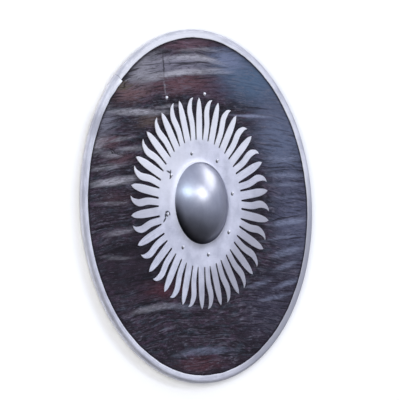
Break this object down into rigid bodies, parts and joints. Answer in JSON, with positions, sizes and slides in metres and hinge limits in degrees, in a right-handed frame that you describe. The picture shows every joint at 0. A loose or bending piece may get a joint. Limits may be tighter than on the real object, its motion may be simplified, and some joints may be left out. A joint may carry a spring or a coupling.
{
  "type": "round shield",
  "caption": "Round wooden shield with a folded steel rim, a nailed sheet steel sun with straight and wavy rays, a domed steel boss and leather straps behind.",
  "frame": {"origin": "under the middle of the rim, on the surface that the shield lies on", "axes": "+Z out of the face, +Y to the top of the face, +X to its right as it is looked at"},
  "size_m": [0.61, 0.61, 0.056],
  "materials": {
    "wood": "dark stained and varnished, worn and streaked with grey",
    "rim_steel": "dull brushed steel strip, lightly marked",
    "plate_steel": "satin sheet steel, lightly marked",
    "boss_steel": "polished steel with a soft satin",
    "nail_steel": "domed steel heads, plain",
    "leather": "dark brown strap leather, lightly worn"
  },
  "bodies": {
    "root": {"board": "wood", "rim": "rim_steel", "sun_plate": "plate_steel", "boss": "boss_steel", "boss_nail_1": "nail_steel", "boss_nail_2": "nail_steel", "boss_nail_3": "nail_steel", "boss_nail_4": "nail_steel", "boss_nail_5": "nail_steel", "boss_nail_6": "nail_steel", "boss_nail_7": "nail_steel", "boss_nail_8": "nail_steel", "grip_strap": "leather", "arm_strap": "leather", "strap_rivet_1": "nail_steel", "strap_rivet_2": "nail_steel", "strap_rivet_3": "nail_steel", "strap_rivet_4": "nail_steel"}
  },
  "joints": []
}
